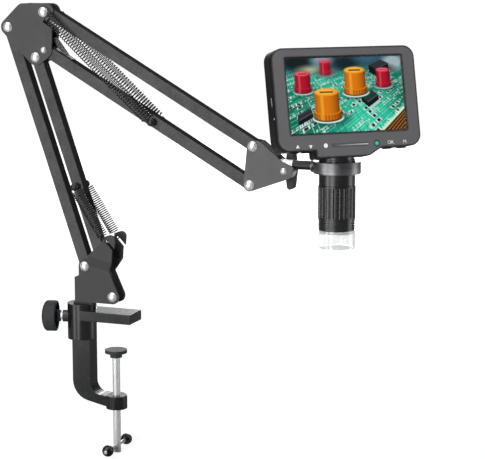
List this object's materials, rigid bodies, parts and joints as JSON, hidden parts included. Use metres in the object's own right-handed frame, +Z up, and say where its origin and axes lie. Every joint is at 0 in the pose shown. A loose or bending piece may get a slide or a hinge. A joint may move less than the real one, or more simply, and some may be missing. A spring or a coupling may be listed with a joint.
{
  "type": "lcd digital microscope",
  "caption": "Digital microscope with a built-in display, held by a spring-balanced scissor arm with tilt joint and ring, clamped to a desk edge.",
  "frame": {"origin": "on the swivel axis of the arm, in the plane of the desk top under the upper jaw", "axes": "+Z up along the swivel axis, +X along the arm towards the microscope, +Y away from the side that the display faces"},
  "size_m": [0.4474, 0.1363, 0.4841],
  "materials": {
    "clamp_black": "satin powder coat",
    "arm_grey": "fine powder coat",
    "chrome": "polished",
    "spring_wire": "dark zinc",
    "dark_steel": "blackened",
    "knob_plastic": "fine grain",
    "ball_plastic": "moulded",
    "bezel_plastic": "satin",
    "shell_plastic": "satin",
    "key_plastic": "satin",
    "cover_glass": "clear",
    "display": "lit picture",
    "board": "solder mask",
    "cell_foil": "foil",
    "indicator": "translucent",
    "connector": "plated shell",
    "barrel_black": "black anodised",
    "lens_glass": "coated",
    "lamp_board": "white",
    "hood_clear": "clear plastic"
  },
  "bodies": {
    "clamp": {"clamp_frame": "clamp_black"},
    "pressure_pad": {"clamp_pad": "knob_plastic"},
    "clamping_screw": {"clamp_screw": "chrome"},
    "tommy": {"tommy_bar": "chrome", "tommy_balls": "ball_plastic"},
    "swivel_lock": {"lock_knob": "knob_plastic", "lock_screw": "chrome"},
    "base": {"base_spigot": "dark_steel", "base_bracket": "arm_grey", "base_rivets": "chrome", "base_washers": "dark_steel"},
    "lower_link_left": {"lower_bar_left": "arm_grey"},
    "lower_link_right": {"lower_bar_right": "arm_grey", "lower_spring_post": "dark_steel", "lower_springs": "spring_wire"},
    "elbow": {"elbow_bracket": "arm_grey", "elbow_rivets": "chrome", "elbow_bolt": "chrome", "elbow_washers": "dark_steel"},
    "upper_link_top": {"upper_bar_top": "arm_grey"},
    "upper_link_bottom": {"upper_bar_bottom": "arm_grey", "upper_spring_post": "dark_steel", "stop_tongue": "dark_steel", "upper_springs": "spring_wire"},
    "yoke": {"head_bracket": "arm_grey", "head_rivets": "chrome", "head_washers": "dark_steel", "tilt_bolt": "chrome"},
    "tilt_knob": {"wing_knob": "knob_plastic"},
    "tilt_block": {"pivot_block": "chrome"},
    "ring": {"extension_rod": "clamp_black", "ring_collar": "clamp_black", "collar_screw": "dark_steel"},
    "microscope": {"front_bezel": "bezel_plastic", "rear_shell": "shell_plastic", "shell_screws": "dark_steel", "screen_glass": "cover_glass", "lcd_panel": "display", "main_board": "board", "battery": "cell_foil", "key_boards": "board", "indicator_lenses": "indicator", "accent_strip": "connector", "usb_port": "connector", "card_slot": "connector", "neck_flange": "barrel_black", "sensor_board": "board", "barrel_tube": "barrel_black", "barrel_nose": "barrel_black", "led_board": "lamp_board", "lamp_hood": "hood_clear"},
    "focus_grip": {"focus_ring": "barrel_black"},
    "lens_carrier": {"lens_cell": "barrel_black", "lens_elements": "lens_glass"},
    "up_button": {"up_key": "key_plastic"},
    "down_button": {"down_key": "key_plastic"},
    "capture_button": {"capture_key": "key_plastic"},
    "ok_button": {"ok_key": "key_plastic"},
    "menu_button": {"menu_key": "key_plastic"}
  },
  "joints": [
    {"name": "base_swivel", "type": "hinge", "parent": "clamp", "child": "base", "pos_m": [0, 0, 0], "axis": [0, 0, 1], "continuous": true},
    {"name": "swivel_lock_turn", "type": "hinge", "parent": "clamp", "child": "swivel_lock", "pos_m": [-0.01913, -0.00585, 0.0018], "axis": [0.9563, 0.2924, 0], "range_deg": [0, 270]},
    {"name": "clamp_travel", "type": "slide", "parent": "clamp", "child": "pressure_pad", "axis": [0, 0, 1], "range_m": [-0.03, 0.03]},
    {"name": "clamp_screw_turn", "type": "hinge", "parent": "pressure_pad", "child": "clamping_screw", "pos_m": [0.04, 0, -0.1], "axis": [0, 0, 1], "range_deg": [-8640, 8640]},
    {"name": "tommy_slide", "type": "slide", "parent": "clamping_screw", "child": "tommy", "axis": [0, 1, 0], "range_m": [-0.0125, 0.0125]},
    {"name": "lower_arm", "type": "hinge", "parent": "base", "child": "lower_link_left", "pos_m": [0.008, 0, 0.0587], "axis": [0, 1, 0], "range_deg": [-8, 50]},
    {"name": "lower_follow", "type": "hinge", "parent": "base", "child": "lower_link_right", "pos_m": [0.0404, 0, 0.0272], "axis": [0, 1, 0], "range_deg": [-8, 50], "deforming": ["lower_springs"]},
    {"name": "elbow_level", "type": "hinge", "parent": "lower_link_left", "child": "elbow", "pos_m": [-0.07837, 0, 0.3124], "axis": [0, 1, 0], "range_deg": [-50, 8]},
    {"name": "upper_arm", "type": "hinge", "parent": "elbow", "child": "upper_link_top", "pos_m": [-0.03237, 0, 0.329], "axis": [0, 1, 0], "range_deg": [-45, 30]},
    {"name": "upper_follow", "type": "hinge", "parent": "elbow", "child": "upper_link_bottom", "pos_m": [-0.03587, 0, 0.2888], "axis": [0, 1, 0], "range_deg": [-45, 30], "deforming": ["upper_springs"]},
    {"name": "head_level", "type": "hinge", "parent": "upper_link_top", "child": "yoke", "pos_m": [0.20043, 0, 0.19622], "axis": [0, 1, 0], "range_deg": [-30, 45]},
    {"name": "tilt_lock_turn", "type": "hinge", "parent": "yoke", "child": "tilt_knob", "pos_m": [0.23413, 0.013, 0.17232], "axis": [0, 1, 0], "range_deg": [-90, 180]},
    {"name": "head_tilt", "type": "hinge", "parent": "yoke", "child": "tilt_block", "pos_m": [0.23413, 0, 0.17232], "axis": [0, 1, 0], "range_deg": [-20, 60]},
    {"name": "ring_roll", "type": "hinge", "parent": "tilt_block", "child": "ring", "pos_m": [0.25413, 0, 0.17842], "axis": [1, 0, 0], "range_deg": [-20, 20]},
    {"name": "scope_turn", "type": "hinge", "parent": "ring", "child": "microscope", "pos_m": [0.28793, 0, 0.17842], "axis": [0, 0, 1], "range_deg": [-20, 90]},
    {"name": "focus_turn", "type": "hinge", "parent": "microscope", "child": "focus_grip", "pos_m": [0.28793, 0, 0.14342], "axis": [0, 0, 1], "range_deg": [-120, 180]},
    {"name": "lens_travel", "type": "slide", "parent": "microscope", "child": "lens_carrier", "axis": [0, 0, 1], "range_m": [-0.0048, 0.0072]},
    {"name": "up_press", "type": "slide", "parent": "microscope", "child": "up_button", "axis": [-0.1462, 0.1478, 0.9781], "range_m": [0, 0.0006], "stiffness_N_per_m": 300, "springref_m": -0.001},
    {"name": "down_press", "type": "slide", "parent": "microscope", "child": "down_button", "axis": [-0.1462, 0.1478, 0.9781], "range_m": [0, 0.0006], "stiffness_N_per_m": 300, "springref_m": -0.001},
    {"name": "capture_press", "type": "slide", "parent": "microscope", "child": "capture_button", "axis": [-0.1462, 0.1478, 0.9781], "range_m": [0, 0.0006], "stiffness_N_per_m": 300, "springref_m": -0.001},
    {"name": "ok_press", "type": "slide", "parent": "microscope", "child": "ok_button", "axis": [-0.1462, 0.1478, 0.9781], "range_m": [0, 0.0006], "stiffness_N_per_m": 300, "springref_m": -0.001},
    {"name": "menu_press", "type": "slide", "parent": "microscope", "child": "menu_button", "axis": [-0.1462, 0.1478, 0.9781], "range_m": [0, 0.0006], "stiffness_N_per_m": 300, "springref_m": -0.001}
  ],
  "couplings": [
    {"joint": "clamp_screw_turn", "follows": "clamp_travel", "rad_per_m": 5026.5},
    {"joint": "lower_follow", "follows": "lower_arm", "ratio": 1},
    {"joint": "elbow_level", "follows": "lower_arm", "ratio": -1},
    {"joint": "upper_follow", "follows": "upper_arm", "ratio": 1},
    {"joint": "head_level", "follows": "upper_arm", "ratio": -1},
    {"joint": "focus_turn", "follows": "lens_travel", "rad_per_m": 436.33}
  ]
}
